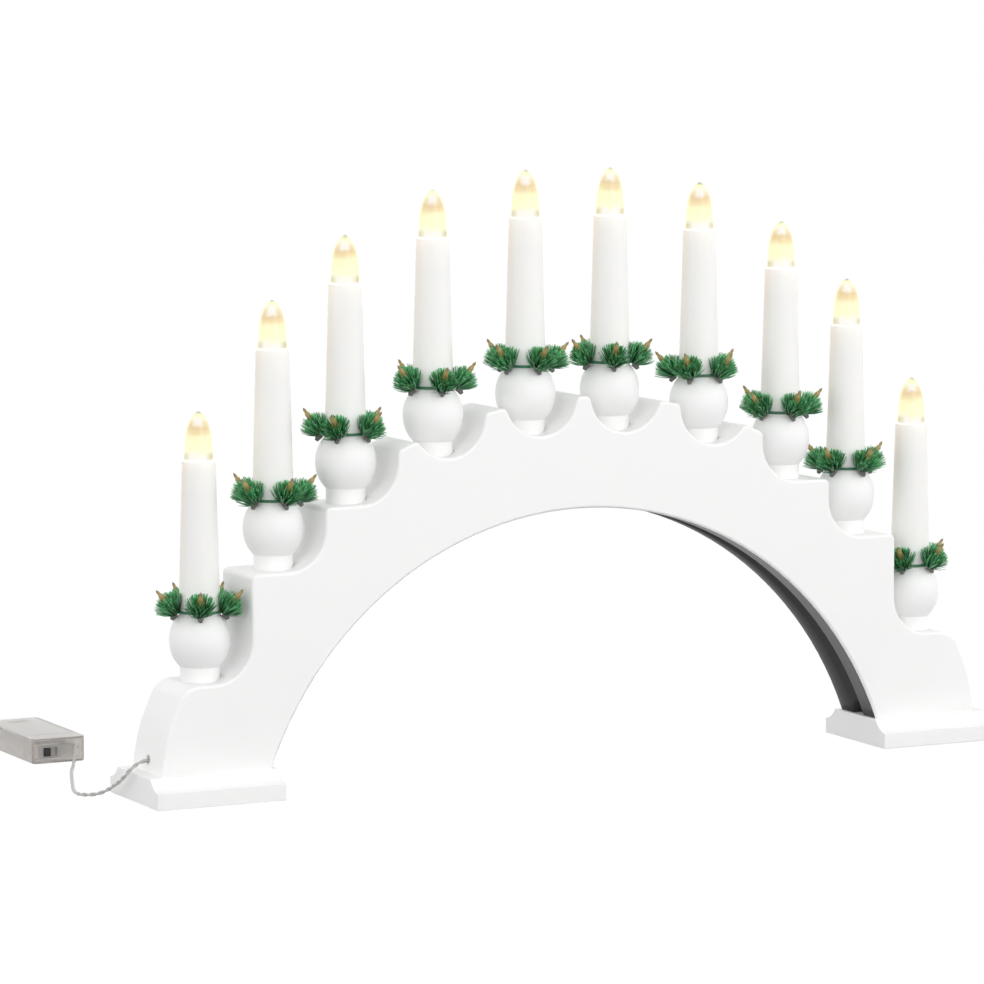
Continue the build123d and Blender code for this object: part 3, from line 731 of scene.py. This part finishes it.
def makeTubes(look):
    foot, top, wall, ease = look["foot"], look["top"], look["wall"], look["rimEase"]
    lowZ, rimZ, spigot = look["footZ"], look["rimZ"], look["spigot"]
    lowest, floorZ = lowZ - look["spigotLength"], lowZ + look["floor"]
    outside = [(spigot - wall, lowest), (spigot, lowest), (spigot, lowZ), (foot, lowZ)]
    for k in range(1, look["rows"]):
        share = k / look["rows"]
        outside.append((foot + (top - foot) * share, lowZ + (rimZ - ease - lowZ) * share))
    outside += arc(top - ease, rimZ - ease, ease, 0, 90, look["rimRows"])
    inside = [(top - wall, rimZ), (foot - wall, floorZ), (spigot - wall, floorZ)]
    points = outside + inside + [outside[0]]
    turnedPieces("candleTube", "candle_tube", "candle_plastic", shares(points), look)


makeTubes(tube)
print("tubes ready")


# Flame lenses
lens = {
    "radius": 7.1, "height": 23.5, "taper": 0.03, "taperEnd": 0.4, "tipPower": 3.0, "tipRound": 0.65,
    "skirt": 6.9, "skirtLength": 4.0, "wall": 1.2, "rimZ": 87.9, "rows": 20, "evenRows": 18,
    "tipShares": [0.88, 0.91, 0.94, 0.965, 0.985, 0.996, 1.0], "insideShares": [1.0, 0.97, 0.9, 0.8, 0.6, 0.3, 0.0],
    "sides": 48, "sharp": 50}


def lensRadius(look, share):
    narrowing = 1 - look["taper"] * min(share / look["taperEnd"], 1)
    return look["radius"] * narrowing * (1 - share ** look["tipPower"]) ** look["tipRound"]


def makeLenses(look):
    height, rim, wall = look["height"], look["rimZ"], look["wall"]
    skirt, skirtZ = look["skirt"], look["rimZ"] - look["skirtLength"]
    outside = [(skirt, skirtZ, 0.0), (skirt, rim, 0.0)]
    for share in [k / look["rows"] for k in range(look["evenRows"])] + look["tipShares"]:
        outside.append((lensRadius(look, share), rim + height * share, share))
    inside = []
    for share in look["insideShares"]:
        inside.append((max(0.0, lensRadius(look, share) - wall), rim + (height - 2 * wall) * share, share))
    inside.append((skirt - wall, skirtZ, 0.0))
    points = outside + inside + [outside[0]]
    turnedPieces("flameLens", "flame_lens", "flame_plastic", points, look)


makeLenses(lens)
print("lenses ready")


# Board, feet and box keep the solids' shapes, and the feet and the box get softened edges
softEdges = {"board": 0.0, "foot": 0.7, "box": 0.5, "lid": 0.4, "segments": 2, "angle": 35.0, "flatAngle": 0.5}


def softCopy(name, node, body, slot, width, flatten=True):
    source = frame["nodes"][node].data
    bm = bmesh.new()
    bm.from_mesh(source)
    bmesh.ops.remove_doubles(bm, verts=bm.verts, dist=weld["solid"] * mm)
    if flatten:
        flat = math.radians(softEdges["flatAngle"])
        bmesh.ops.dissolve_limit(bm, angle_limit=flat, verts=bm.verts, edges=bm.edges)
    mesh = meshFrom(bm, name, softEdges["angle"])
    piece = newPiece(name, mesh, body, slot, [node])
    if width:
        bevel = piece.modifiers.new("softEdges", "BEVEL")
        bevel.width = width * mm
        bevel.segments = softEdges["segments"]
        bevel.limit_method = "ANGLE"
        bevel.angle_limit = math.radians(softEdges["angle"])
        bevel.harden_normals = True
    even = piece.modifiers.new("evenNormals", "WEIGHTED_NORMAL")
    even.keep_sharp = True
    return piece


# The underside of the arch, the inner curve and the wiring groove in it, is painted dark grey as shade
soffit = {
    "rise": 118.3, "half": 170.7, "top": 132.3, "groove": 10.0, "tolerance": 0.4, "rim": 16.8, "grooveHalf": 5.3}


def paintShadeOnSoffit(piece, look):
    radius = (look["half"] ** 2 + look["rise"] ** 2) / (2 * look["rise"])
    axisZ = look["top"] - radius
    # Faces on the underside take the dark grey of painted shade
    piece.data.materials.append(paintedShadeGrey)
    for face in piece.data.polygons:
        away = math.hypot(face.center.x / mm, face.center.z / mm - axisZ)
        inward = face.normal.x * face.center.x + face.normal.z * (face.center.z - axisZ * mm) < 0
        across = abs(face.center.y / mm)
        near = away < radius + look["groove"] + look["tolerance"]
        if near and (across < look["grooveHalf"] or inward and across < look["rim"]):
            face.material_index = 1


# The round end of a leg keeps its true normals, so that the cord hole leaves no streaks in its shading
legEnd = {"centreX": 136.2, "centreZ": 8.3, "radius": 93.0, "tolerance": 0.2, "lean": 0.05, "least": 205.0}


def roundLegEnds(piece, look):
    mesh = evaluatedMesh(piece)
    normals = [corner.vector.copy() for corner in mesh.corner_normals]
    for face in mesh.polygons:
        if abs(face.center.x) < look["least"] * mm:
            continue
        centre = Vector((math.copysign(look["centreX"], face.center.x) * mm, 0, look["centreZ"] * mm))
        away = math.hypot(face.center.x - centre.x, face.center.z - centre.z) / mm
        if abs(away - look["radius"]) < look["tolerance"] and abs(face.normal.y) < look["lean"]:
            for corner in face.loop_indices:
                outward = mesh.vertices[mesh.loops[corner].vertex_index].co - centre
                outward.y = 0
                normals[corner] = outward.normalized()
    mesh.normals_split_custom_set(normals)
    piece.modifiers.clear()
    piece.data = mesh


# The sunk panel round the switch is frosted and a little darker than the clear box
switchPanel = {"face": 121.6, "tolerance": 0.05}


def paintPanel(piece, look):
    piece.data.materials.append(panelPlastic)
    for face in piece.data.polygons:
        if face.normal.y < 0 and abs(face.center.y / mm - look["face"]) < look["tolerance"]:
            face.material_index = 1


board = softCopy("archBoard", "arch_board", "arch", "white_paint", softEdges["board"], flatten=False)
roundLegEnds(board, legEnd)
paintShadeOnSoffit(board, soffit)
softCopy("leftFoot", "left_foot", "arch", "white_paint", softEdges["foot"])
softCopy("rightFoot", "right_foot", "arch", "white_paint", softEdges["foot"])
boxBase = softCopy("batteryBase", "battery_base", "arch", "box_plastic", softEdges["box"])
paintPanel(boxBase, switchPanel)
boxLid = softCopy("batteryLid", "battery_lid", "battery_lid", "box_plastic", softEdges["lid"])
print("board, feet and box ready")


# Cord: a limp twisted pair from the arch to the battery box
pair = {
    "diameter": 0.0020, "core": 0.00054, "offset": 0.00046, "pitch": 0.0088, "coreRows": 2, "lineOrder": 3,
    "lineRows": 16, "sharp": 60}
cordRoute = [
    (-0.2240, 0.0, 0.0200), (-0.2304, 0.0, 0.0198), (-0.2366, -0.0004, 0.0172), (-0.2406, 0.0014, 0.0118),
    (-0.2418, 0.0076, 0.0080), (-0.2432, 0.0144, 0.0042), (-0.2482, 0.0176, 0.0016), (-0.2546, 0.0235, 0.0011),
    (-0.2534, 0.0350, 0.0011), (-0.2470, 0.0520, 0.0011), (-0.2394, 0.0720, 0.0011), (-0.2318, 0.0910, 0.0011),
    (-0.2256, 0.1035, 0.0012), (-0.2220, 0.1115, 0.0042), (-0.2184, 0.1180, 0.0079), (-0.2170, 0.1250, 0.0080),
    (-0.2176, 0.1295, 0.0080), (-0.2190, 0.1336, 0.0080)]


def routeLine(points, look):
    curve = bpy.data.curves.new("cordLine", "CURVE")
    curve.dimensions = "3D"
    spline = curve.splines.new("NURBS")
    spline.points.add(len(points) - 1)
    for point, place in zip(spline.points, points):
        point.co = (*place, 1)
    spline.order_u = look["lineOrder"]
    spline.use_endpoint_u = True
    spline.resolution_u = look["lineRows"]
    lineObject = bpy.data.objects.new("cordLine", curve)
    bpy.context.scene.collection.objects.link(lineObject)
    line = [vert.co.copy() for vert in evaluatedMesh(lineObject).vertices]
    bpy.data.objects.remove(lineObject)
    return line


def coreCurve(line, phase, look):
    # One core winds round the line, turning once in each pitch
    curve = bpy.data.curves.new("cordCore", "CURVE")
    curve.dimensions = "3D"
    curve.bevel_depth = look["core"]
    curve.bevel_resolution = look["coreRows"]
    curve.use_fill_caps = True
    spline = curve.splines.new("POLY")
    spline.points.add(len(line) - 1)
    travelled = 0.0
    side = Vector((0, 1, 0))
    for k, place in enumerate(line):
        ahead = line[min(k + 1, len(line) - 1)] - line[max(k - 1, 0)]
        ahead.normalize()
        side = (side - ahead * side.dot(ahead)).normalized()
        over = ahead.cross(side)
        if k:
            travelled += (place - line[k - 1]).length
        turn = 2 * math.pi * travelled / look["pitch"] + phase
        spline.points[k].co = (*(place + (side * math.cos(turn) + over * math.sin(turn)) * look["offset"]), 1)
    return curve, travelled


def makeCord(look):
    line = routeLine(cordRoute, look)
    bm = bmesh.new()
    for phase in (0, math.pi):
        curve, length = coreCurve(line, phase, look)
        strand = bpy.data.objects.new("cordStrand", curve)
        bpy.context.scene.collection.objects.link(strand)
        bm.from_mesh(evaluatedMesh(strand))
        bpy.data.objects.remove(strand)
    bmesh.ops.remove_doubles(bm, verts=bm.verts, dist=weld["cord"] * mm)
    bmesh.ops.recalc_face_normals(bm, faces=bm.faces)
    mesh = meshFrom(bm, "twistedCord", look["sharp"])
    cord = newPiece("twistedCord", mesh, "arch", "cord_insulation", ["cord"])
    print("cord length", round(length, 4))


makeCord(pair)


# Solids that stay as they are get their finish
replaced = ("arch_board", "left_foot", "right_foot", "battery_base", "battery_lid", "cord")
slotOf = {row["node"]: row["material_slot"] for row in frame["record"]["subparts"]}
ownFinish = {"switch_body": bodyGrey}
for node, solid in frame["nodes"].items():
    if node in replaced or node[-2:].isdigit():
        continue
    solid.data.materials.clear()
    solid.data.materials.append(ownFinish.get(node, finishes[slotOf[node]]))
print("solids finished")


# Floor, backdrop and light
stageLook = {
    "floorSize": 12.0, "floorDrop": 0.0002, "floorColor": (0.3, 0.3, 0.3, 1), "floorShare": 0.92, "floorGlow": 1.08,
    "roomColor": (1, 1, 1, 1), "horizon": 1.95, "zenith": 0.5, "seen": 1}
lamps = [
    {"name": "keyLamp", "place": (0.2, -2.8, 1.2), "aim": (0, 0, 0.12), "size": 2.4, "power": 14},
    {"name": "fillLamp", "place": (2.2, -1.4, 0.9), "aim": (0, 0, 0.1), "size": 2.2, "power": 6},
]


def cameraLikeRay(nodes, links):
    # One for rays that show the background itself: straight, mirrored or through glass
    path = nodes.new("ShaderNodeLightPath")
    plain = mathNode(nodes, links, "MAXIMUM", path.outputs["Is Camera Ray"], path.outputs["Is Glossy Ray"])
    return mathNode(nodes, links, "MAXIMUM", plain, path.outputs["Is Transmission Ray"])


def makeFloor(look):
    bm = bmesh.new()
    bmesh.ops.create_grid(bm, x_segments=1, y_segments=1, size=look["floorSize"] / 2)
    mesh = rawMesh(bm, "floor")
    material = bpy.data.materials.new("paleFloor")
    material.use_nodes = True
    nodes, links = material.node_tree.nodes, material.node_tree.links
    nodes.clear()
    output = nodes.new("ShaderNodeOutputMaterial")
    matt = nodes.new("ShaderNodeBsdfDiffuse")
    matt.inputs["Color"].default_value = look["floorColor"]
    glow = nodes.new("ShaderNodeEmission")
    glow.inputs["Strength"].default_value = look["floorGlow"]
    mix = nodes.new("ShaderNodeMixShader")
    share = mathNode(nodes, links, "MULTIPLY", cameraLikeRay(nodes, links), look["floorShare"])
    links.new(share, mix.inputs["Fac"])
    links.new(matt.outputs[0], mix.inputs[1])
    links.new(glow.outputs[0], mix.inputs[2])
    links.new(mix.outputs[0], output.inputs["Surface"])
    mesh.materials.append(material)
    floor = bpy.data.objects.new("floor", mesh)
    floor.location.z = -look["floorDrop"]
    bpy.context.scene.collection.objects.link(floor)


def makeRoom(look):
    # The room's light falls off from the horizon to the zenith, and the backdrop itself stays white
    world = bpy.data.worlds.new("paleRoom")
    bpy.context.scene.world = world
    world.use_nodes = True
    nodes, links = world.node_tree.nodes, world.node_tree.links
    background = nodes["Background"]
    background.inputs["Color"].default_value = look["roomColor"]
    coords = nodes.new("ShaderNodeTexCoord")
    direction = nodes.new("ShaderNodeSeparateXYZ")
    links.new(coords.outputs["Generated"], direction.inputs[0])
    sky = nodes.new("ShaderNodeMapRange")
    sky.inputs["To Min"].default_value = look["horizon"]
    sky.inputs["To Max"].default_value = look["zenith"]
    links.new(direction.outputs["Z"], sky.inputs["Value"])
    strength = nodes.new("ShaderNodeMapRange")
    links.new(sky.outputs["Result"], strength.inputs["To Min"])
    strength.inputs["To Max"].default_value = look["seen"]
    links.new(cameraLikeRay(nodes, links), strength.inputs["Value"])
    links.new(strength.outputs["Result"], background.inputs["Strength"])


def makeLamp(look):
    data = bpy.data.lights.new(look["name"], "AREA")
    data.shape = "DISK"
    data.size = look["size"]
    data.energy = look["power"]
    lamp = bpy.data.objects.new(look["name"], data)
    lamp.location = look["place"]
    lamp.rotation_mode = "QUATERNION"
    lamp.rotation_quaternion = (Vector(look["aim"]) - Vector(look["place"])).to_track_quat("-Z", "Y")
    bpy.context.scene.collection.objects.link(lamp)


makeFloor(stageLook)
makeRoom(stageLook)
for lampLook in lamps:
    makeLamp(lampLook)
bpy.context.scene.view_settings.view_transform = "Standard"
print("stage and lamps ready")
